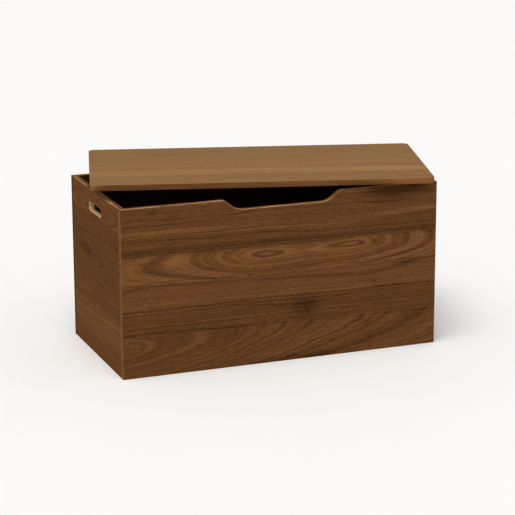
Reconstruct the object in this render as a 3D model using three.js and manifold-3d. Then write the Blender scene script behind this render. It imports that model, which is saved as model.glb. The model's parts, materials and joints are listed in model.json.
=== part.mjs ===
// Wooden toy box: a chest of wood-grain laminated board with a loose lid lying askew on its rim.
// Millimetres, +Z up. The front faces -Y. The origin is on the floor, under the middle of the box.
//
// Front and back cover the ends of the two sides, and the bottom lies between all four walls.
// Cam locks and dowels inside the boards hold them together, so no fastener shows outside.

import * as THREE from 'three';
import { mergeVertices } from 'three/addons/utils/BufferGeometryUtils.js';
import Module from 'manifold-3d';

const wasm = await Module();
wasm.setup();

// Box
const WIDTH = 900;
const DEPTH = 450;
const HEIGHT = 457;
const BOARD = 15;
const BAND = 0.8; // thickness of the edge banding

// Finger cut-out in the front's top edge: a flat floor between two S-shaped ramps
const CUT_WIDTH = 344; // at the top edge
const CUT_DEPTH = 28;
const CREST_RADIUS = 24; // where the top edge bends down into a ramp
const TROUGH_RADIUS = 55; // where a ramp runs out on the floor
const CUT_SLOPE = THREE.MathUtils.degToRad(40);

// Handle slots, one in each side
const SLOT_LENGTH = 116;
const SLOT_HEIGHT = 25;
const SLOT_DROP = 48; // from the top edge down to the slot's middle

// Lid: turned square, it overhangs the box by 15 at both ends and by 10 in front and behind
const LID_WIDTH = 930;
const LID_DEPTH = 470;
const LID_CORNER = 18;
const LID_X = 52;
const LID_Y = 107;
const LID_YAW = -16; // degrees
const LID_GAP = 0.3;

// Fasteners
const GAP = 0.3; // between a fastener and its bore
const CAM_RADIUS = 7.2;
const CAM_HEIGHT = 12;
const CAM_REACH = 24; // from a joint face to the middle of its cam
const CROSS_LENGTH = 8;
const CROSS_WIDTH = 1.6;
const CROSS_DEPTH = 2;
const THREAD_RADIUS = 2.9;
const THREAD_LENGTH = 11;
const SHANK_RADIUS = 3.4;
const SHANK_LENGTH = 18;
const NECK_RADIUS = 2;
const HEAD_RADIUS = 3.5;
const HEAD_LENGTH = 4;
const DOWEL_RADIUS = 4;
const DOWEL_LENGTH = 30;
const DOWEL_SUNK = 10; // length in the face of the outer board; the rest is in the other board's end
const DOWEL_CHAMFER = 1;

// Where the fasteners are
const CORNER_CAM_HEIGHTS = { lower: 90, upper: 367 };
const CORNER_DOWEL_HEIGHTS = { lower: 58, upper: 399 };
const BOTTOM_CAM_X = 250;
const BOTTOM_DOWEL_Y = 120;

// Facets
const CAM_SIDES = 24;
const PIN_SIDES = 12;
const ARC_STEPS = 8;

const RIGHT_ANGLE = Math.PI / 2;
const INNER_WIDTH = WIDTH - 2 * BOARD;
const INNER_DEPTH = DEPTH - 2 * BOARD;
const MID_BOARD = BOARD / 2;
const CUT_OVER = 1; // how far a cutter runs past the face it enters

// Each wall is drawn flat: x along it, y up, and z = 0 on its inner face with +z outwards.
// A wall's group then turns it about the box's upright axis, and "distance" is how far out it stands.
const WALLS = {
  front: { turn: 0, distance: INNER_DEPTH / 2 },
  right: { turn: RIGHT_ANGLE, distance: INNER_WIDTH / 2 },
  back: { turn: Math.PI, distance: INNER_DEPTH / 2 },
  left: { turn: -RIGHT_ANGLE, distance: INNER_WIDTH / 2 },
};

const FINISHES = {
  walnut: { color: 0x5f3f25, roughness: 0.55, metalness: 0 },
  lid: { color: 0x8c6a47, roughness: 0.5, metalness: 0 },
  band: { color: 0x87623c, roughness: 0.45, metalness: 0 },
  zinc: { color: 0xa9abad, roughness: 0.4, metalness: 1 },
  steel: { color: 0x9a9893, roughness: 0.35, metalness: 1 },
  beech: { color: 0xc9a678, roughness: 0.75, metalness: 0 },
};

function piece(name, finish, geometry) {
  const mesh = new THREE.Mesh(geometry, new THREE.MeshStandardMaterial(FINISHES[finish]));
  mesh.name = name;
  return mesh;
}

// Cutting

function solidOf(geometry) {
  const bare = geometry.clone();
  bare.deleteAttribute('normal');
  bare.deleteAttribute('uv');
  const merged = mergeVertices(bare);
  const vertProperties = new Float32Array(merged.attributes.position.array);
  const triVerts = new Uint32Array(merged.index.array);
  return new wasm.Manifold(new wasm.Mesh({ numProp: 3, vertProperties, triVerts }));
}

function cutAway(geometry, cutters) {
  const solid = cutters.reduce((rest, cutter) => rest.subtract(solidOf(cutter)), solidOf(geometry));
  const { vertProperties, triVerts } = solid.getMesh();
  const result = new THREE.BufferGeometry();
  result.setAttribute('position', new THREE.BufferAttribute(vertProperties, 3));
  result.setIndex(new THREE.BufferAttribute(triVerts, 1));
  result.computeVertexNormals();
  return result;
}

function cylinderBetween(radius, sides, start, end) {
  const [from, to] = [new THREE.Vector3(...start), new THREE.Vector3(...end)];
  const along = to.clone().sub(from);
  const geometry = new THREE.CylinderGeometry(radius, radius, along.length(), sides);
  const turn = new THREE.Quaternion().setFromUnitVectors(new THREE.Vector3(0, 1, 0), along.normalize());
  const middle = from.lerp(to, 0.5);
  return geometry.applyQuaternion(turn).translate(middle.x, middle.y, middle.z);
}

function slab(width, height, thickness) {
  const geometry = new THREE.BoxGeometry(width, height, thickness);
  return geometry.translate(0, 0, thickness / 2);
}

function extrude(shape, depth) {
  return new THREE.ExtrudeGeometry(shape, { depth, bevelEnabled: false, curveSegments: ARC_STEPS });
}

// Outlines

// Draws the front's top edge from left to right, at the given depth under the finished edge.
function drawWave(path, inset, halfWidth) {
  const bothRadii = CREST_RADIUS + TROUGH_RADIUS;
  const straightDrop = CUT_DEPTH - bothRadii * (1 - Math.cos(CUT_SLOPE));
  const rampLength = bothRadii * Math.sin(CUT_SLOPE) + straightDrop / Math.tan(CUT_SLOPE);
  const outer = CUT_WIDTH / 2;
  const inner = outer - rampLength;
  const high = HEIGHT - CREST_RADIUS;
  const low = HEIGHT - CUT_DEPTH + TROUGH_RADIUS;
  const crest = CREST_RADIUS - inset;
  const trough = TROUGH_RADIUS + inset;
  path.moveTo(-halfWidth, HEIGHT - inset);
  path.lineTo(-outer, HEIGHT - inset);
  path.absarc(-outer, high, crest, RIGHT_ANGLE, RIGHT_ANGLE - CUT_SLOPE, true);
  path.absarc(-inner, low, trough, -RIGHT_ANGLE - CUT_SLOPE, -RIGHT_ANGLE, false);
  path.absarc(inner, low, trough, -RIGHT_ANGLE, CUT_SLOPE - RIGHT_ANGLE, false);
  path.absarc(outer, high, crest, RIGHT_ANGLE + CUT_SLOPE, RIGHT_ANGLE, true);
  path.lineTo(halfWidth, HEIGHT - inset);
}

function roundedRectangle(path, width, height, radius) {
  const [x, y] = [width / 2 - radius, height / 2 - radius];
  path.absarc(x, y, radius, 0, RIGHT_ANGLE, false);
  path.absarc(-x, y, radius, RIGHT_ANGLE, 2 * RIGHT_ANGLE, false);
  path.absarc(-x, -y, radius, 2 * RIGHT_ANGLE, 3 * RIGHT_ANGLE, false);
  path.absarc(x, -y, radius, 3 * RIGHT_ANGLE, 4 * RIGHT_ANGLE, false);
  path.closePath();
  return path;
}

function frontOutline() {
  const half = WIDTH / 2 - BAND;
  const shape = new THREE.Shape();
  drawWave(shape, BAND, half);
  shape.lineTo(half, 0);
  shape.lineTo(-half, 0);
  shape.closePath();
  return shape;
}

function waveBandOutline() {
  const half = WIDTH / 2 - BAND;
  const below = new THREE.Path();
  drawWave(below, BAND, half);
  const shape = new THREE.Shape();
  drawWave(shape, 0, half);
  below.getPoints(ARC_STEPS).reverse().forEach((point) => shape.lineTo(point.x, point.y));
  shape.closePath();
  return shape;
}

function sideOutline() {
  const half = INNER_DEPTH / 2;
  const top = HEIGHT - BAND;
  const shape = new THREE.Shape();
  shape.moveTo(-half, 0);
  shape.lineTo(half, 0);
  shape.lineTo(half, top);
  shape.lineTo(-half, top);
  shape.closePath();
  shape.holes.push(slotOutline());
  return shape;
}

function slotOutline() {
  const radius = SLOT_HEIGHT / 2;
  const reach = SLOT_LENGTH / 2 - radius;
  const middle = HEIGHT - SLOT_DROP;
  const path = new THREE.Path();
  path.absarc(reach, middle, radius, -RIGHT_ANGLE, RIGHT_ANGLE, false);
  path.absarc(-reach, middle, radius, RIGHT_ANGLE, 3 * RIGHT_ANGLE, false);
  path.closePath();
  return path;
}

// Bores. "inwards" is the direction from a joint face into the end of the board that it meets.

function boltBoreInFace(x, y) {
  return cylinderBetween(THREAD_RADIUS + GAP, PIN_SIDES, [x, y, -CUT_OVER], [x, y, THREAD_LENGTH + GAP]);
}

function dowelBoreInFace(x, y) {
  return cylinderBetween(DOWEL_RADIUS + GAP, PIN_SIDES, [x, y, -CUT_OVER], [x, y, DOWEL_SUNK + GAP]);
}

function boltBoreInEnd(x, y, inwards) {
  const start = [x - inwards * CUT_OVER, y, MID_BOARD];
  return cylinderBetween(HEAD_RADIUS + GAP, PIN_SIDES, start, [x + inwards * CAM_REACH, y, MID_BOARD]);
}

function dowelBoreInEnd(x, y, inwards) {
  const start = [x - inwards * CUT_OVER, y, MID_BOARD];
  const end = [x + inwards * (DOWEL_LENGTH - DOWEL_SUNK + GAP), y, MID_BOARD];
  return cylinderBetween(DOWEL_RADIUS + GAP, PIN_SIDES, start, end);
}

function camBore(x, y) {
  return cylinderBetween(CAM_RADIUS + GAP, CAM_SIDES, [x, y, -CUT_OVER], [x, y, CAM_HEIGHT + 2 * GAP]);
}

// Boards

// Front and back carry the bolts and dowels of both corners, and the bolts of the bottom.
function longWallBores() {
  const cornerX = INNER_WIDTH / 2 + MID_BOARD;
  const bores = [-1, 1].flatMap((end) => [
    ...Object.values(CORNER_CAM_HEIGHTS).map((height) => boltBoreInFace(end * cornerX, height)),
    ...Object.values(CORNER_DOWEL_HEIGHTS).map((height) => dowelBoreInFace(end * cornerX, height)),
  ]);
  const bottomBores = [-1, 1].map((end) => boltBoreInFace(end * BOTTOM_CAM_X, MID_BOARD));
  return [...bores, ...bottomBores];
}

function sideWallBores() {
  const end = INNER_DEPTH / 2;
  return [-1, 1].flatMap((side) => [
    ...Object.values(CORNER_CAM_HEIGHTS).flatMap((height) => [
      camBore(side * (end - CAM_REACH), height),
      boltBoreInEnd(side * end, height, -side),
    ]),
    ...Object.values(CORNER_DOWEL_HEIGHTS).map((height) => dowelBoreInEnd(side * end, height, -side)),
    dowelBoreInFace(side * BOTTOM_DOWEL_Y, MID_BOARD),
  ]);
}

function frontPanel() {
  return piece('front_panel', 'walnut', cutAway(extrude(frontOutline(), BOARD), longWallBores()));
}

function backPanel() {
  const height = HEIGHT - BAND;
  const board = slab(WIDTH - 2 * BAND, height, BOARD).translate(0, height / 2, 0);
  return piece('back_panel', 'walnut', cutAway(board, longWallBores()));
}

function sidePanel(side) {
  return piece(`${side}_side_panel`, 'walnut', cutAway(extrude(sideOutline(), BOARD), sideWallBores()));
}

// The bottom lies flat with z up, and its cams are let into its underside.
function bottomPanel() {
  const cutters = [-1, 1].flatMap((along) => [-1, 1].flatMap((across) => {
    const x = along * BOTTOM_CAM_X;
    const end = across * INNER_DEPTH / 2;
    const reach = end - across * CAM_REACH;
    const mouth = [x, end + across * CUT_OVER, MID_BOARD];
    return [
      camBore(x, reach),
      cylinderBetween(HEAD_RADIUS + GAP, PIN_SIDES, mouth, [x, reach, MID_BOARD]),
      dowelBoreInEnd(along * INNER_WIDTH / 2, across * BOTTOM_DOWEL_Y, -along),
    ];
  }));
  return piece('bottom_panel', 'walnut', cutAway(slab(INNER_WIDTH, INNER_DEPTH, BOARD), cutters));
}

// Edge banding

function endBand(name, end) {
  const band = piece(name, 'band', slab(BAND, HEIGHT, BOARD));
  band.position.set(end * (WIDTH - BAND) / 2, HEIGHT / 2, 0);
  return band;
}

function topBand(name, length) {
  const band = piece(name, 'band', slab(length, BAND, BOARD));
  band.position.y = HEIGHT - BAND / 2;
  return band;
}

// Fasteners

function camGeometry() {
  const housing = cylinderBetween(CAM_RADIUS, CAM_SIDES, [0, 0, 0], [0, 0, CAM_HEIGHT]);
  const middle = MID_BOARD - GAP;
  const mouth = [-CAM_RADIUS - CUT_OVER, 0, middle];
  const throat = cylinderBetween(HEAD_RADIUS + GAP, PIN_SIDES, mouth, [HEAD_LENGTH + GAP, 0, middle]);
  const crossHeight = 2 * CROSS_DEPTH;
  const crossArms = [
    new THREE.BoxGeometry(CROSS_LENGTH, CROSS_WIDTH, crossHeight),
    new THREE.BoxGeometry(CROSS_WIDTH, CROSS_LENGTH, crossHeight),
  ];
  return cutAway(housing, [throat, ...crossArms]);
}

// The bolt stands on its thread: the thread, below 0, is in the outer board, and the head is in the cam.
function boltGeometry() {
  const chamfer = THREAD_RADIUS / 2;
  const headStart = CAM_REACH - HEAD_LENGTH / 2;
  const headEnd = CAM_REACH + HEAD_LENGTH / 2;
  const profile = [
    [0, -THREAD_LENGTH],
    [chamfer, -THREAD_LENGTH],
    [THREAD_RADIUS, -THREAD_LENGTH + chamfer],
    [THREAD_RADIUS, 0],
    [SHANK_RADIUS, 0],
    [SHANK_RADIUS, SHANK_LENGTH],
    [NECK_RADIUS, SHANK_LENGTH + NECK_RADIUS],
    [NECK_RADIUS, headStart],
    [HEAD_RADIUS, headStart + 1],
    [HEAD_RADIUS, headEnd - 1],
    [NECK_RADIUS, headEnd],
    [0, headEnd],
  ];
  return new THREE.LatheGeometry(profile.map(([x, y]) => new THREE.Vector2(x, y)), PIN_SIDES);
}

function dowelGeometry() {
  const end = DOWEL_LENGTH - DOWEL_SUNK;
  const profile = [
    [0, -DOWEL_SUNK],
    [DOWEL_RADIUS - DOWEL_CHAMFER, -DOWEL_SUNK],
    [DOWEL_RADIUS, DOWEL_CHAMFER - DOWEL_SUNK],
    [DOWEL_RADIUS, end - DOWEL_CHAMFER],
    [DOWEL_RADIUS - DOWEL_CHAMFER, end],
    [0, end],
  ];
  return new THREE.LatheGeometry(profile.map(([x, y]) => new THREE.Vector2(x, y)), PIN_SIDES);
}

// A cam whose throat faces the joint: "heading" is the direction from the joint face to the cam.
function cam(name, x, y, heading) {
  const mesh = piece(name, 'zinc', camGeometry());
  mesh.position.set(x, y, GAP);
  mesh.rotation.z = heading;
  return mesh;
}

// A bolt or dowel laid along "heading", with its joint face at (x, y), in the middle of the board.
function pin(mesh, x, y, heading) {
  mesh.position.set(x, y, MID_BOARD);
  mesh.rotation.z = heading - RIGHT_ANGLE;
  return mesh;
}

function bolt(name, x, y, heading) {
  return pin(piece(name, 'steel', boltGeometry()), x, y, heading);
}

function dowel(name, x, y, heading) {
  return pin(piece(name, 'beech', dowelGeometry()), x, y, heading);
}

// The fasteners of both upright corners of a side, in the side's own flat frame.
function cornerFasteners(side, corners) {
  return corners.flatMap(({ corner, end }) => {
    const x = end * INNER_DEPTH / 2;
    const camX = x - end * CAM_REACH;
    const heading = end > 0 ? Math.PI : 0;
    const cams = Object.entries(CORNER_CAM_HEIGHTS).flatMap(([level, height]) => [
      cam(`cam_${corner}_${side}_${level}`, camX, height, heading),
      bolt(`cam_bolt_${corner}_${side}_${level}`, x, height, heading),
    ]);
    const dowels = Object.entries(CORNER_DOWEL_HEIGHTS).map(([level, height]) => (
      dowel(`dowel_${corner}_${side}_${level}`, x, height, heading)
    ));
    return [...cams, ...dowels];
  });
}

// Assembly

function wallGroup({ turn, distance }, meshes) {
  const flat = new THREE.Group();
  flat.add(...meshes);
  flat.rotation.x = RIGHT_ANGLE;
  flat.position.y = -distance;
  const wall = new THREE.Group();
  wall.add(flat);
  wall.rotation.z = turn;
  return wall;
}

function frontWall() {
  return wallGroup(WALLS.front, [
    frontPanel(),
    piece('front_top_band', 'band', extrude(waveBandOutline(), BOARD)),
    endBand('front_left_end_band', -1),
    endBand('front_right_end_band', 1),
  ]);
}

// The back's flat frame runs the other way, so its +x end is the box's left.
function backWall() {
  return wallGroup(WALLS.back, [
    backPanel(),
    topBand('back_top_band', WIDTH - 2 * BAND),
    endBand('back_left_end_band', 1),
    endBand('back_right_end_band', -1),
  ]);
}

function sideWall(side, frontEnd) {
  const corners = [
    { corner: 'front', end: frontEnd },
    { corner: 'back', end: -frontEnd },
  ];
  return wallGroup(WALLS[side], [
    sidePanel(side),
    topBand(`${side}_top_band`, INNER_DEPTH),
    ...cornerFasteners(side, corners),
  ]);
}

function bottom() {
  const group = new THREE.Group();
  group.add(bottomPanel());
  for (const [side, along] of [['left', -1], ['right', 1]]) {
    for (const [corner, across] of [['front', -1], ['back', 1]]) {
      const x = along * BOTTOM_CAM_X;
      const end = across * INNER_DEPTH / 2;
      const heading = -across * RIGHT_ANGLE;
      const dowelHeading = along > 0 ? Math.PI : 0;
      group.add(cam(`cam_bottom_${corner}_${side}`, x, end - across * CAM_REACH, heading));
      group.add(bolt(`cam_bolt_bottom_${corner}_${side}`, x, end, heading));
      const dowelY = across * BOTTOM_DOWEL_Y;
      group.add(dowel(`dowel_bottom_${side}_${corner}`, along * INNER_WIDTH / 2, dowelY, dowelHeading));
    }
  }
  return group;
}

function lid() {
  const core = new THREE.Shape();
  roundedRectangle(core, LID_WIDTH - 2 * BAND, LID_DEPTH - 2 * BAND, LID_CORNER - BAND);
  const ring = new THREE.Shape();
  roundedRectangle(ring, LID_WIDTH, LID_DEPTH, LID_CORNER);
  ring.holes.push(new THREE.Path(core.getPoints(ARC_STEPS)));
  const group = new THREE.Group();
  group.add(piece('lid_panel', 'lid', extrude(core, BOARD)));
  group.add(piece('lid_edge_band', 'band', extrude(ring, BOARD)));
  group.position.set(LID_X, LID_Y, HEIGHT + LID_GAP);
  group.rotation.z = THREE.MathUtils.degToRad(LID_YAW);
  return group;
}

const toyBox = new THREE.Group();
toyBox.add(frontWall(), backWall(), sideWall('left', 1), sideWall('right', -1), bottom(), lid());

export default toyBox;
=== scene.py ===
# The looks of the wooden toy box, around its imported CAD model. Metres, in the model's own frame:
# +Z up, the front faces -Y, and the origin is on the floor under the middle of the box.
#
# Every board stays the CAD one, with eased edges. The work is in the walnut print on the boards: each
# board has its own figure, laid out in strips as on the real foil, with eyes, streaks and dark patches.
# Some colour is painted light and shade: two dark patches on the front and dark stretches of two top
# bands are a painted shadow of the lid. The lid, its band and the top bands have lighter paint standing
# in for light. The inner faces have darker paint for the shade inside the box, and the outer edges of
# the bands carry a painted highlight.

import json
import math
from collections import namedtuple

import bmesh
import bpy
from mathutils import Matrix, Vector


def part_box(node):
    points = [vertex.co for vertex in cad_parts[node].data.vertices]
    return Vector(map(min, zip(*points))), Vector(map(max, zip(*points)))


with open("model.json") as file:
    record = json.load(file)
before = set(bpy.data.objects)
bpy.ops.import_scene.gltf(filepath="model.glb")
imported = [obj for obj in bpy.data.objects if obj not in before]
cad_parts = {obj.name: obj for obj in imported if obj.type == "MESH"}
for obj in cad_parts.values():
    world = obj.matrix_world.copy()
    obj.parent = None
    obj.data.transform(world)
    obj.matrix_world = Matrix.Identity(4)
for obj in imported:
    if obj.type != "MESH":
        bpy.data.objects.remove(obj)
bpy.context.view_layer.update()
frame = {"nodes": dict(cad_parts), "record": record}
nodes = frame["nodes"]

# Camera: in front of the box, to its left and a little above it
CAMERA_AZIMUTH = math.radians(-21.1)
CAMERA_ELEVATION = math.radians(14.9)
CAMERA_ROLL = math.radians(-0.2)
CAMERA_DISTANCE = 5.458
CAMERA_LENS = 137.9
CAMERA_SENSOR = 36.0
CAMERA_AIM = Vector((0.012, -0.005, 0.232))

# Studio: an even sky, and a soft key light from above, a little in front and to the left
FLOOR_SIZE = 80.0
FLOOR_PAINT = (245, 244, 242)
FLOOR_CLOUD_PAINT = (248, 247, 245)
SKY_STRENGTH = 0.42
KEY_DIRECTION = Vector((-0.20, -0.22, 0.95))
KEY_STRENGTH = 2.1
KEY_ANGLE = math.radians(40)


def make_camera():
    data = bpy.data.cameras.new("camera")
    data.lens = CAMERA_LENS
    data.sensor_width = CAMERA_SENSOR
    data.clip_end = 2 * FLOOR_SIZE
    camera = bpy.data.objects.new("camera", data)
    bpy.context.scene.collection.objects.link(camera)
    turn = Matrix.Rotation(CAMERA_AZIMUTH, 4, "Z")
    tilt = Matrix.Rotation(math.pi / 2 - CAMERA_ELEVATION, 4, "X")
    roll = Matrix.Rotation(CAMERA_ROLL, 4, "Z")
    back = Matrix.Translation((0, 0, CAMERA_DISTANCE))
    camera.matrix_world = Matrix.Translation(CAMERA_AIM) @ turn @ tilt @ roll @ back
    bpy.context.scene.camera = camera


make_camera()


# Node trees, written as arithmetic

class Field:
    """A value that varies over a surface: one output in a material's node tree."""

    def __init__(self, socket):
        self.socket = socket

    def __add__(self, other):
        return calculate("ADD", self, other)

    def __radd__(self, other):
        return calculate("ADD", other, self)

    def __sub__(self, other):
        return calculate("SUBTRACT", self, other)

    def __rsub__(self, other):
        return calculate("SUBTRACT", other, self)

    def __mul__(self, other):
        return calculate("MULTIPLY", self, other)

    def __rmul__(self, other):
        return calculate("MULTIPLY", other, self)

    def __abs__(self):
        return calculate("ABSOLUTE", self)


def new_node(kind, *terms):
    """A new node in the tree that the terms are in."""
    tree = next(term.socket.id_data for term in terms if isinstance(term, Field))
    return tree.nodes.new(kind)


def feed(target, value):
    """Links a field to an input, or sets the input to a constant."""
    if isinstance(value, Field):
        value.socket.id_data.links.new(target, value.socket)
    else:
        target.default_value = value


def calculate(operation, *terms):
    node = new_node("ShaderNodeMath", *terms)
    node.operation = operation
    for target, term in zip(node.inputs, terms):
        feed(target, term)
    return Field(node.outputs[0])


def step_above(value, limit):
    return calculate("GREATER_THAN", value, limit)


def smooth_step(value, low, high):
    node = new_node("ShaderNodeMapRange", value)
    node.interpolation_type = "SMOOTHSTEP"
    feed(node.inputs["Value"], value)
    node.inputs["From Min"].default_value = low
    node.inputs["From Max"].default_value = high
    return Field(node.outputs[0])


def blend_values(share, first, second):
    """first where share is 0, second where it is 1."""
    node = new_node("ShaderNodeMix", share, first, second)
    feed(node.inputs[0], share)
    feed(node.inputs[2], first)
    feed(node.inputs[3], second)
    return Field(node.outputs[0])


def blend_colors(share, first, second):
    node = new_node("ShaderNodeMix", share, first, second)
    node.data_type = "RGBA"
    feed(node.inputs[0], share)
    feed(node.inputs[6], first)
    feed(node.inputs[7], second)
    return Field(node.outputs[2])


def noise_along(value, detail=0.0, roughness=0.5):
    """Noise that depends on one number."""
    node = new_node("ShaderNodeTexNoise", value)
    node.noise_dimensions = "1D"
    feed(node.inputs["W"], value)
    node.inputs["Scale"].default_value = 1.0
    node.inputs["Detail"].default_value = detail
    node.inputs["Roughness"].default_value = roughness
    return Field(node.outputs[0])


def noise_at(x, y, z=0.0, detail=0.0, roughness=0.5):
    """Noise at a place, where a step of 1 is about one grain of it."""
    place = new_node("ShaderNodeCombineXYZ", x, y, z)
    for target, term in zip(place.inputs, (x, y, z)):
        feed(target, term)
    node = new_node("ShaderNodeTexNoise", x, y, z)
    node.id_data.links.new(node.inputs["Vector"], place.outputs[0])
    node.inputs["Scale"].default_value = 1.0
    node.inputs["Detail"].default_value = detail
    node.inputs["Roughness"].default_value = roughness
    return Field(node.outputs[0])


def follow_curve(value, points):
    """A smooth curve through points. Both of its axes run from 0 to 1."""
    node = new_node("ShaderNodeFloatCurve", value)
    line = node.mapping.curves[0]
    while len(line.points) < len(points):
        line.points.new(0.5, 0.5)
    for point, place in zip(line.points, points):
        point.location = place
    node.mapping.update()
    feed(node.inputs["Value"], value)
    return Field(node.outputs[0])


def color_ramp(value, stops):
    node = new_node("ShaderNodeValToRGB", value)
    elements = node.color_ramp.elements
    while len(elements) < len(stops):
        elements.new(1.0)
    for element, (position, color) in zip(elements, stops):
        element.position = position
        element.color = color
    feed(node.inputs[0], value)
    return Field(node.outputs[0])


def paint(red, green, blue):
    """A linear colour from the usual 0 to 255 display values."""
    def linear(value):
        share = value / 255
        return share / 12.92 if share <= 0.04045 else ((share + 0.055) / 1.055) ** 2.4
    return (linear(red), linear(green), linear(blue), 1.0)


def new_material(name):
    """A material with a bare Principled shader, and the place on the surface as fields in metres."""
    material = bpy.data.materials.new(name)
    material.use_nodes = True
    tree = material.node_tree
    shader = tree.nodes["Principled BSDF"]
    coordinates = tree.nodes.new("ShaderNodeTexCoord")
    place = tree.nodes.new("ShaderNodeSeparateXYZ")
    tree.links.new(place.inputs[0], coordinates.outputs["Object"])
    return material, shader, [Field(output) for output in place.outputs]


def add_bump(shader, height, distance, strength=1.0):
    node = new_node("ShaderNodeBump", height)
    node.inputs["Distance"].default_value = distance
    node.inputs["Strength"].default_value = strength
    feed(node.inputs["Height"], height)
    feed(shader.inputs["Normal"], Field(node.outputs[0]))


# Studio

def make_floor():
    mesh = bpy.data.meshes.new("floor")
    form = bmesh.new()
    bmesh.ops.create_grid(form, x_segments=4, y_segments=4, size=FLOOR_SIZE / 2)
    form.to_mesh(mesh)
    form.free()
    floor = bpy.data.objects.new("floor", mesh)
    bpy.context.scene.collection.objects.link(floor)
    material, shader, (x, y, z) = new_material("floor_paint")
    cloud = noise_at(x * 3.0, y * 3.0, detail=2.0)
    feed(shader.inputs["Base Color"], blend_colors(cloud, paint(*FLOOR_PAINT), paint(*FLOOR_CLOUD_PAINT)))
    shader.inputs["Roughness"].default_value = 0.8
    shader.inputs["Specular IOR Level"].default_value = 0.1
    mesh.materials.append(material)


def make_sky():
    world = bpy.data.worlds.new("studio")
    bpy.context.scene.world = world
    world.use_nodes = True
    background = world.node_tree.nodes["Background"]
    background.inputs["Color"].default_value = (1.0, 1.0, 1.0, 1.0)
    background.inputs["Strength"].default_value = SKY_STRENGTH


def make_key_light():
    data = bpy.data.lights.new("key", "SUN")
    data.energy = KEY_STRENGTH
    data.angle = KEY_ANGLE
    light = bpy.data.objects.new("key", data)
    light.rotation_euler = KEY_DIRECTION.to_track_quat("Z", "Y").to_euler()
    bpy.context.scene.collection.objects.link(light)


def make_studio():
    make_floor()
    make_sky()
    make_key_light()


make_studio()
bpy.context.scene.view_settings.view_transform = "Standard"

# Walnut print
#
# A board's print is described in metres along the grain and across it, from one corner of the board.
# The rings of an eye are ellipses round its middle, and neighbouring eyes of a strip run together.

Board = namedtuple("Board", "strips streaks patches mottle seed")
# edge: where the strip starts across the grain. tone: its mean. ring_depth: how dark its rings are
Strip = namedtuple("Strip", "edge tone ring_depth eyes")
# left and right: how many times longer than wide its rings are on that side. rise: the lean of its axis
Eye = namedtuple("Eye", "along across left right rise")
# depth: how much darker it is, or lighter where it is below 0. path: points (along, across)
Streak = namedtuple("Streak", "width depth path")
Patch = namedtuple("Patch", "along across length height depth")  # length and height are half sizes

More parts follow.
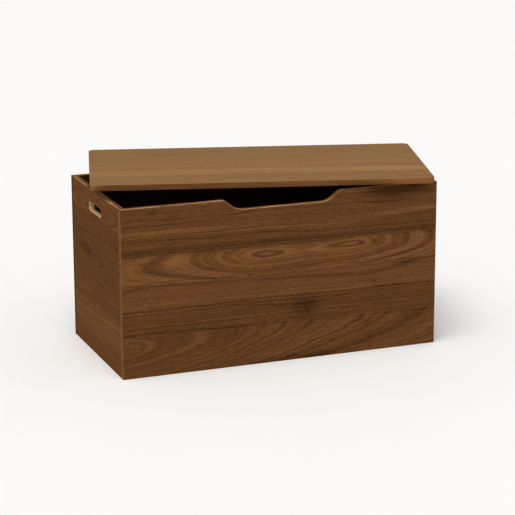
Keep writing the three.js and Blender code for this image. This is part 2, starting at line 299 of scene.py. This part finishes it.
# Tone runs from 0, the darkest streaks, to 1, the lightest figure.
FRONT = Board(
    strips=[
        Strip(0.0, 0.50, 0.0, [Eye(0.250, -0.300, 40.0, 60.0, 0.01)]),
        Strip(0.132, 0.62, 0.30, [Eye(0.393, 0.152, 4.4, 5.2, 0.0), Eye(0.660, 0.150, 9.5, 3.6, -0.02)]),
        Strip(0.207, 0.58, 0.0, [Eye(0.300, -0.400, 60.0, 60.0, 0.02)]),
        Strip(0.274, 0.42, 0.0, [Eye(0.515, 0.900, 60.0, 60.0, 0.0)]),
        Strip(0.349, 0.47, 0.24, [Eye(-0.100, 0.382, 6.2, 6.2, -0.065)]),
    ],
    streaks=[
        Streak(0.007, 0.26, [(0.0, 0.227), (0.03, 0.216), (0.1, 0.213), (0.2, 0.213), (0.4, 0.222),
                             (0.6, 0.232), (0.69, 0.237), (0.76, 0.230), (0.82, 0.217), (0.9, 0.205)]),
        Streak(0.003, 0.22, [(0.0, 0.212), (0.1, 0.203), (0.42, 0.204), (0.62, 0.202), (0.70, 0.208),
                             (0.80, 0.189), (0.9, 0.172)]),
        Streak(0.003, 0.30, [(0.0, 0.089), (0.1, 0.090), (0.25, 0.095), (0.4, 0.094), (0.5, 0.100),
                             (0.9, 0.105)]),
        Streak(0.003, 0.15, [(0.0, 0.146), (0.06, 0.149), (0.10, 0.153), (0.14, 0.166), (0.19, 0.184),
                             (0.27, 0.196), (0.45, 0.203), (0.9, 0.190)]),
        Streak(0.003, 0.22, [(0.3, 0.078), (0.42, 0.078), (0.55, 0.083), (0.9, 0.088)]),
        Streak(0.003, 0.20, [(0.0, 0.046), (0.29, 0.042), (0.33, 0.037), (0.38, 0.027), (0.9, 0.020)]),
        Streak(0.004, 0.16, [(0.0, 0.002), (0.5, 0.004), (0.62, 0.020), (0.68, 0.035), (0.78, 0.046),
                             (0.9, 0.05)]),
        Streak(0.014, -0.20, [(0.0, 0.070), (0.25, 0.074), (0.45, 0.079), (0.65, 0.083), (0.8, 0.070),
                              (0.9, 0.066)]),
        Streak(0.020, 0.24, [(0.0, 0.120), (0.9, 0.124)]),
        Streak(0.003, -0.16, [(0.0, 0.262), (0.25, 0.262), (0.45, 0.268), (0.7, 0.270), (0.9, 0.258)]),
        Streak(0.004, 0.20, [(0.0, 0.340), (0.18, 0.338), (0.28, 0.344), (0.40, 0.349), (0.9, 0.352)]),
        Streak(0.004, 0.22, [(0.0, 0.276), (0.25, 0.278), (0.35, 0.290), (0.5, 0.300), (0.56, 0.296),
                             (0.64, 0.284), (0.9, 0.280)]),
    ],
    patches=[
        Patch(0.515, 0.308, 0.065, 0.050, 0.26),
        Patch(0.812, 0.214, 0.062, 0.024, 0.22),
        Patch(0.714, 0.149, 0.026, 0.011, 0.36),
        Patch(0.672, 0.151, 0.012, 0.003, 0.40),
        Patch(0.395, 0.162, 0.014, 0.003, 0.44),
        Patch(0.560, 0.153, 0.100, 0.009, -0.15),
        Patch(0.358, 0.206, 0.014, 0.003, 0.50),
        Patch(0.253, 0.206, 0.010, 0.003, 0.30),
        Patch(0.716, 0.261, 0.008, 0.006, 0.36),
        Patch(0.415, 0.119, 0.060, 0.012, 0.15),
        # Painted shadow: these two patches darken the front's top right, under the lid's overhang, where the
        # lid casts its shadow
        Patch(0.775, 0.004, 0.150, 0.054, 0.46),
        Patch(0.785, -0.004, 0.120, 0.032, 0.34),
        Patch(0.490, 0.452, 0.300, 0.020, 0.26),
        Patch(0.680, 0.366, 0.050, 0.016, 0.14),
        Patch(0.190, 0.150, 0.120, 0.022, -0.16),
        Patch(0.090, 0.014, 0.034, 0.012, 0.26),
        Patch(0.134, 0.027, 0.020, 0.008, 0.14),
        Patch(0.110, 0.068, 0.200, 0.012, -0.14),
        Patch(0.330, 0.358, 0.040, 0.014, 0.05),
    ],
    mottle=0.10,
    seed=0.0,
)

SIDE = Board(
    strips=[
        Strip(0.0, 0.56, 0.10, [Eye(0.100, 0.048, 7.0, 7.0, -0.03)]),
        Strip(0.070, 0.44, 0.0, [Eye(0.200, -0.300, 40.0, 40.0, -0.05)]),
        Strip(0.233, 0.51, 0.0, [Eye(0.300, 0.800, 40.0, 40.0, -0.06)]),
        Strip(0.318, 0.66, 0.0, [Eye(0.200, 1.100, 40.0, 40.0, -0.04)]),
        Strip(0.390, 0.56, 0.0, [Eye(0.600, -0.400, 40.0, 40.0, -0.05)]),
    ],
    streaks=[
        Streak(0.004, 0.12, [(0.0, 0.118), (0.2, 0.108), (0.45, 0.100)]),
        Streak(0.004, 0.12, [(0.0, 0.310), (0.2, 0.304), (0.45, 0.292)]),
    ],
    patches=[
        Patch(0.120, 0.176, 0.110, 0.026, 0.20),
        Patch(0.250, 0.190, 0.040, 0.014, 0.16),
        Patch(0.150, 0.050, 0.022, 0.012, 0.18),
        Patch(0.150, 0.242, 0.160, 0.014, 0.10),
    ],
    mottle=0.10,
    seed=3.0,
)

LID = Board(
    strips=[
        Strip(0.0, 0.46, 0.0, [Eye(0.450, -0.300, 40.0, 40.0, 0.02)]),
        Strip(0.200, 0.55, 0.0, [Eye(0.100, 0.900, 30.0, 30.0, 0.0)]),
        Strip(0.300, 0.71, 0.0, [Eye(0.100, 0.900, 30.0, 30.0, 0.0)]),
        Strip(0.360, 0.49, 0.0, [Eye(0.500, -0.200, 40.0, 40.0, 0.0)]),
    ],
    streaks=[
        Streak(0.006, 0.10, [(0.0, 0.275), (0.4, 0.268), (0.6, 0.276), (0.93, 0.280)]),
        Streak(0.006, 0.14, [(0.0, 0.222), (0.5, 0.220), (0.7, 0.212), (0.93, 0.218)]),
        Streak(0.007, 0.16, [(0.0, 0.382), (0.3, 0.372), (0.5, 0.384), (0.93, 0.380)]),
        Streak(0.006, -0.14, [(0.0, 0.186), (0.3, 0.192), (0.6, 0.186), (0.93, 0.172)]),
        Streak(0.008, 0.12, [(0.0, 0.060), (0.4, 0.072), (0.93, 0.100)]),
    ],
    patches=[
        Patch(0.615, 0.245, 0.022, 0.010, 0.30),
        Patch(0.495, 0.402, 0.018, 0.009, 0.30),
        Patch(0.220, 0.095, 0.140, 0.030, 0.20),
        Patch(0.400, 0.405, 0.090, 0.018, 0.14),
        Patch(0.850, 0.330, 0.200, 0.040, -0.14),
    ],
    mottle=0.46,
    seed=6.0,
)

# Paints, from the darkest tone to the lightest
WALNUT = [
    (0.0, (60, 37, 20)), (0.06, (75, 47, 26)), (0.3, (93, 59, 32)), (0.6, (112, 72, 41)),
    (1.0, (138, 95, 54)),
]
# Painted shade: a darker copy of the walnut for the inner faces and the lid's underside, for the shade
# inside the box
SHADED_INNER_WALNUT = [(0.0, (58, 37, 21)), (0.5, (76, 49, 28)), (1.0, (95, 64, 38))]
# Painted light: the lid's walnut is a lighter copy of the walls', standing in for the stronger light on its
# top
LIT_LID_WALNUT = [(0.0, (112, 77, 41)), (0.4, (133, 95, 54)), (0.7, (146, 107, 62)), (1.0, (161, 122, 74))]
CORE = [(0.0, (166, 126, 86)), (0.5, (212, 174, 130)), (1.0, (238, 210, 172))]
END_BAND = [(0.0, (96, 61, 32)), (0.5, (121, 80, 44)), (1.0, (144, 101, 60))]
# Painted light: the lid's edge band has lighter paint, standing in for more light on its face
LIT_LID_BAND = [(0.0, (106, 68, 38)), (0.5, (140, 92, 54)), (1.0, (172, 120, 76))]
BACK_BAND = [(0.0, (56, 35, 18)), (0.5, (78, 50, 26)), (1.0, (100, 66, 37))]
# Painted light: the top bands are painted lighter than the walls, standing in for the light from above
LIT_RIM_BAND = [(0.0, (48, 30, 17)), (0.3, (90, 58, 32)), (0.6, (126, 87, 52)), (1.0, (184, 138, 94))]
PORE_DEPTH = 0.00012

X, Y, Z = 0, 1, 2
# along and across: the axes of a band's length and of its width. outer: the side of its worn edge, which
# also carries a painted highlight
# shade: middle and half length of its painted shade, a darker stretch standing in for the lid's shadow
Band = namedtuple("Band", "along across outer ramp shade")
NO_PAINTED_SHADE = (9.0, 1.0)  # far off the box
BANDS = {
    # The front and left top bands get a painted shadow of the lid on one stretch
    "front_top_band": Band(X, Y, -1, LIT_RIM_BAND, (0.330, 0.210)),
    "back_top_band": Band(X, Y, 1, LIT_RIM_BAND, NO_PAINTED_SHADE),
    "left_top_band": Band(Y, X, -1, LIT_RIM_BAND, (-0.020, 0.120)),
    "right_top_band": Band(Y, X, 1, LIT_RIM_BAND, NO_PAINTED_SHADE),
    "front_left_end_band": Band(Z, Y, -1, END_BAND, NO_PAINTED_SHADE),
    "front_right_end_band": Band(Z, Y, -1, END_BAND, NO_PAINTED_SHADE),
    "back_left_end_band": Band(Z, Y, 1, BACK_BAND, NO_PAINTED_SHADE),
    "back_right_end_band": Band(Z, Y, 1, BACK_BAND, NO_PAINTED_SHADE),
}
# The bands' outer edges: rubbed lighter, and a painted highlight that fades out in the painted shade
RIM_WEAR_AND_HIGHLIGHT_WIDTH = 0.007
RIM_WEAR_AND_HIGHLIGHT_TONE = 0.55
# How much darker the painted shadow of the lid makes a top band
RIM_PAINTED_SHADE = 0.34

# Specular levels. The walls are matte even seen along their face, and the lid shines a little
WALL_GLOSS = 0.001
LID_GLOSS = 0.055

WEAR_WIDTH = 0.0035
WEAR_TONE = 0.35

# How much each layer of the print changes its tone, from the widest bands to the pores
CLOUD_TONE = 0.18
BROAD_RING_TONE = 0.18
NARROW_RING_TONE = 0.22
LINE_TONE = 0.14
FIBRE_TONE = 0.74
GRIT_TONE = 1.05
PORE_TONE = 0.12
PATCH_CORE = 0.1  # the share of a patch's half size that has its full depth

EYE_JOIN = 0.012
RING_WIDTH = 0.016
RING_UNEVENNESS = 2.2  # in rings
STRIP_SHIFT = 1.7  # sets the rings of one strip apart from the next one's


def growth_rings(distance):
    """Rings that darken slowly outward and turn light again at once, from -0.5 to 0.5."""
    uneven = noise_along(distance * 45.0, detail=1.0) * RING_UNEVENNESS
    share = calculate("FRACT", distance * (1 / RING_WIDTH) + uneven)
    dark = smooth_step(share, 0.30, 0.85) - smooth_step(share, 0.88, 1.0)
    return 0.5 - dark


def strip_figure(along, across, strips):
    """Distance across the grain from the nearest eye of the strip a place is in, and the strip's tone."""
    ring = None
    strip_tone = None
    for number, strip in enumerate(strips):
        nearest = None
        for eye in strip.eyes:
            forward = along - eye.along
            sideways = across - eye.across - forward * eye.rise
            lengthwise = forward * blend_values(step_above(forward, 0.0), 1 / eye.left, 1 / eye.right)
            distance = calculate("SQRT", lengthwise * lengthwise + sideways * sideways)
            if nearest is None:
                nearest = distance
            else:
                nearest = calculate("SMOOTH_MIN", nearest, distance, EYE_JOIN)
        tone = growth_rings(nearest) * strip.ring_depth + strip.tone
        shifted = nearest + number * STRIP_SHIFT
        if ring is None:
            ring = shifted
            strip_tone = tone
        else:
            inside = step_above(across, strip.edge)
            ring = blend_values(inside, ring, shifted)
            strip_tone = blend_values(inside, strip_tone, tone)
    return ring, strip_tone


def streak_depth(along, across, streak):
    off = abs(across - follow_curve(along, streak.path))
    return (1.0 - smooth_step(off, 0.0, streak.width)) * streak.depth


def patch_depth(along, across, patch):
    lengthwise = (along - patch.along) * (1 / patch.length)
    sideways = (across - patch.across) * (1 / patch.height)
    off = calculate("SQRT", lengthwise * lengthwise + sideways * sideways)
    return (1.0 - smooth_step(off, PATCH_CORE, 1.0)) * patch.depth


def walnut_tone(along, across, board, size):
    """Tone of the print, from 0 to 1, and its open pores, from 0 to 1."""
    seed = board.seed
    wave = noise_at(along * 3.0, across * 8.0, seed) - 0.5
    ripple = noise_at(along * 9.0, across * 45.0, seed, detail=1.0) - 0.5
    bent = across + wave * 0.010
    feather = noise_at(along * 28.0, across * 110.0, seed, detail=2.0) - 0.5
    sway = across + wave * 0.012 + ripple * 0.006 + feather * 0.0035
    ring, strip_tone = strip_figure(along + wave * 0.06 + ripple * 0.02, sway, board.strips)
    ring = ring + seed

    broad = noise_along(ring * 60.0, detail=1.0) - 0.5
    narrow = smooth_step(noise_along(ring * 190.0, detail=1.0), 0.25, 0.75) - 0.5
    crest = abs(noise_along(ring * 105.0) - 0.5)
    line = 1.0 - smooth_step(crest, 0.0, 0.05)
    line_fade = smooth_step(noise_at(along * 5.0, across * 26.0, seed + 1.0), 0.30, 0.65)

    fibre = noise_at(along * 11.0, bent * 420.0, seed, detail=3.0, roughness=0.6) - 0.5
    cloud = noise_at(along * 5.0, across * 16.0, seed + 2.0, detail=2.0) - 0.5
    grit = noise_at(along * 55.0, bent * 520.0, seed, detail=2.0, roughness=0.7) - 0.5
    pores = smooth_step(noise_at(along * 80.0, across * 1900.0, seed, detail=1.0), 0.58, 0.68)

    mottle = noise_at(along * 60.0, across * 110.0, seed + 3.0, detail=2.0) - 0.5
    detail = broad * BROAD_RING_TONE + narrow * NARROW_RING_TONE + fibre * FIBRE_TONE
    detail = detail + cloud * CLOUD_TONE + grit * GRIT_TONE + mottle * board.mottle
    detail = detail - line * line_fade * LINE_TONE - pores * PORE_TONE
    for streak in board.streaks:
        detail = detail - streak_depth(along, bent, streak)
    for patch in board.patches:
        detail = detail - patch_depth(along + ripple * 0.02, across + ripple * 0.006, patch)
    return strip_tone + detail + border_wear(along, across, size) * WEAR_TONE, pores


def border_wear(along, across, size):
    """From 0 to 1 near a board's borders, where its foil is rubbed lighter in places."""
    along_gap = calculate("MINIMUM", along, size[0] - along)
    gap = calculate("MINIMUM", calculate("MINIMUM", across, size[1] - across), along_gap)
    rubbed = smooth_step(noise_at(along * 24.0, across * 24.0, 5.0, detail=2.0), 0.40, 0.70)
    return (1.0 - smooth_step(gap, 0.0004, WEAR_WIDTH)) * rubbed


def paints(ramp):
    return [(position, paint(*color)) for position, color in ramp]


def surface_direction(tree, axis):
    """How far the surface faces along an axis, from -1 to 1."""
    coordinates = tree.nodes.new("ShaderNodeTexCoord")
    parts = tree.nodes.new("ShaderNodeSeparateXYZ")
    tree.links.new(parts.inputs[0], coordinates.outputs["Normal"])
    return Field(parts.outputs[axis])


def cut_face(tree, axis):
    """1 on faces along the board's thickness, where the foil ends, and 0 on its two broad faces."""
    return 1.0 - step_above(abs(surface_direction(tree, axis)), 0.5)


def chip_board(x, y, z):
    chips = noise_at(x * 260.0, y * 260.0, z * 260.0, detail=3.0, roughness=0.65)
    return color_ramp(smooth_step(chips, 0.3, 0.7), paints(CORE))


def finish_board(material, shader, place, tone, pores, ramp, axis, inward, gloss):
    """inward: the sign of the board's inner face along its thickness. That face gets darker paint, a painted
    shade for the dark inside of the box.
    """
    core = cut_face(material.node_tree, axis)
    inner = step_above(surface_direction(material.node_tree, axis) * inward, 0.5)
    color = color_ramp(tone, paints(ramp))
    color = blend_colors(inner, color, color_ramp(tone, paints(SHADED_INNER_WALNUT)))
    feed(shader.inputs["Base Color"], blend_colors(core, color, chip_board(*place)))
    feed(shader.inputs["Roughness"], blend_values(core, 0.55 + pores * 0.15 - tone * 0.08, 0.85))
    shader.inputs["Specular IOR Level"].default_value = gloss
    add_bump(shader, tone * 0.35 - pores, PORE_DEPTH, 0.5)


def board_material(name, node_name, axes, board):
    """axes: which of x, y, z runs along the grain, across it and inward through the board, with its sign."""
    material, shader, place = new_material(name)
    low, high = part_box(node_name)
    size = high - low
    (along_axis, along_sign), (across_axis, across_sign), (through, inward) = axes
    along = (place[along_axis] - (low if along_sign > 0 else high)[along_axis]) * along_sign
    across = (place[across_axis] - (low if across_sign > 0 else high)[across_axis]) * across_sign
    tone, pores = walnut_tone(along, across, board, (size[along_axis], size[across_axis]))
    finish_board(material, shader, place, tone, pores, WALNUT, through, inward, WALL_GLOSS)
    return material


def dress(node_name, material):
    mesh = nodes[node_name].data
    mesh.materials.clear()
    mesh.materials.append(material)


def dress_boards():
    plain_back = FRONT._replace(seed=9.0, patches=[], streaks=[])
    plain_bottom = FRONT._replace(seed=15.0, patches=[], streaks=[])
    for node_name, axes, board in (
        ("front_panel", ((X, 1), (Z, -1), (Y, 1)), FRONT),
        ("back_panel", ((X, -1), (Z, -1), (Y, -1)), plain_back),
        ("left_side_panel", ((Y, -1), (Z, -1), (X, 1)), SIDE),
        ("right_side_panel", ((Y, 1), (Z, -1), (X, -1)), SIDE._replace(seed=12.0)),
        ("bottom_panel", ((X, 1), (Y, 1), (Z, 1)), plain_bottom),
    ):
        dress(node_name, board_material(node_name + "_print", node_name, axes, board))


LID_YAW = math.radians(-16)
LID_SIZE = Vector((0.930, 0.470, 0.015))


def lid_place(place):
    """Distances along and across the lid from its left back corner."""
    middle = next(m for m in frame["record"]["mounts"] if m["name"] == "lid_top")["pos_m"]
    east = place[X] - middle[X]
    north = place[Y] - middle[Y]
    along = east * math.cos(LID_YAW) + north * math.sin(LID_YAW) + LID_SIZE.x / 2
    across = east * math.sin(LID_YAW) - north * math.cos(LID_YAW) + LID_SIZE.y / 2
    return along, across


def dress_lid():
    material, shader, place = new_material("lid_walnut")
    along, across = lid_place(place)
    tone, pores = walnut_tone(along, across, LID, LID_SIZE)
    finish_board(material, shader, place, tone, pores, LIT_LID_WALNUT, Z, -1, LID_GLOSS)
    dress("lid_panel", material)


def rim_wear_and_highlight(band, node_name, place):
    """From 0 to 1 towards the band's outer edge, where it is rubbed lighter and a highlight is painted along
    the arris.
    """
    low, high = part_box(node_name)
    edge = (low if band.outer < 0 else high)[band.across]
    gap = abs(place[band.across] - edge)
    rubbed = smooth_step(noise_at(place[band.along] * 22.0, 7.0, detail=2.0), 0.20, 0.55)
    return (1.0 - smooth_step(gap, 0.001, RIM_WEAR_AND_HIGHLIGHT_WIDTH)) * rubbed


def band_print(material, shader, along, across, wear_and_highlight, painted_shade, ramp):
    lines = noise_at(along * 14.0, across * 480.0, detail=3.0, roughness=0.6) - 0.5
    cloud = noise_at(along * 9.0, across * 60.0, 4.0) - 0.5
    # The outer edge's wear and painted highlight lighten the tone, and the painted shadow of the lid darkens
    # it
    tone = 0.5 + lines * 1.2 + cloud * 0.4 + wear_and_highlight * (1.0 - painted_shade) * RIM_WEAR_AND_HIGHLIGHT_TONE - painted_shade * RIM_PAINTED_SHADE
    feed(shader.inputs["Base Color"], color_ramp(tone, paints(ramp)))
    feed(shader.inputs["Roughness"], 0.55 - tone * 0.08)
    shader.inputs["Specular IOR Level"].default_value = WALL_GLOSS
    add_bump(shader, lines, PORE_DEPTH, 0.4)


def dress_bands():
    for node_name, band in BANDS.items():
        material, shader, place = new_material(node_name + "_print")
        wear_and_highlight = rim_wear_and_highlight(band, node_name, place)
        # Painted shade: the band is darker along the stretch where the lid casts its shadow
        off = abs(place[band.along] - band.shade[0]) * (1 / band.shade[1])
        painted_shade = 1.0 - smooth_step(off, 0.6, 1.0)
        band_print(material, shader, place[band.along], place[band.across], wear_and_highlight, painted_shade, band.ramp)
        dress(node_name, material)


def dress_lid_band():
    material, shader, place = new_material("lid_band_print")
    along, across = lid_place(place)
    band_print(material, shader, along + across, place[Z], 0.0, 0.0, LIT_LID_BAND)
    dress("lid_edge_band", material)


def metal_material(name, color, roughness):
    material, shader, (x, y, z) = new_material(name)
    grain = noise_at(x * 900.0, y * 900.0, z * 900.0, detail=3.0)
    cloud = noise_at(x * 90.0, y * 90.0, z * 90.0, detail=1.0)
    shine = [(0.3, paint(*[c * 0.82 for c in color])), (0.7, paint(*color))]
    feed(shader.inputs["Base Color"], color_ramp(cloud, shine))
    feed(shader.inputs["Roughness"], roughness + (grain - 0.5) * 0.2)
    shader.inputs["Metallic"].default_value = 1.0
    add_bump(shader, grain, 0.0001, 0.3)
    return material


def beech_material():
    material, shader, (x, y, z) = new_material("beech")
    fibre = noise_at(x * 500.0, y * 500.0, z * 500.0, detail=3.0)
    tones = [(0.3, paint(186, 150, 108)), (0.7, paint(214, 182, 140))]
    feed(shader.inputs["Base Color"], color_ramp(fibre, tones))
    shader.inputs["Roughness"].default_value = 0.7
    add_bump(shader, fibre, 0.0001, 0.4)
    return material


def dress_fasteners():
    zinc = metal_material("cast_zinc", (176, 178, 180), 0.42)
    steel = metal_material("plated_steel", (168, 166, 160), 0.3)
    beech = beech_material()
    for name in nodes:
        if name.startswith("cam_bolt"):
            dress(name, steel)
        elif name.startswith("cam"):
            dress(name, zinc)
        elif name.startswith("dowel"):
            dress(name, beech)


dress_boards()
dress_lid()
dress_bands()
dress_lid_band()
dress_fasteners()


# Eased edges

BOARD_EASE = 0.0003
BAND_EASE = 0.0004
METAL_EASE = 0.0002


def ease_edges(node, width, segments=2):
    weld = node.modifiers.new("weld", "WELD")
    weld.merge_threshold = 0.00001
    bevel = node.modifiers.new("bevel", "BEVEL")
    bevel.width = width
    bevel.segments = segments
    bevel.limit_method = "ANGLE"
    bevel.angle_limit = math.radians(40)
    bevel.harden_normals = True


for name, node in nodes.items():
    if name.endswith("_panel"):
        ease_edges(node, BOARD_EASE)
    elif name.endswith("_band"):
        ease_edges(node, BAND_EASE)
    else:
        ease_edges(node, METAL_EASE)
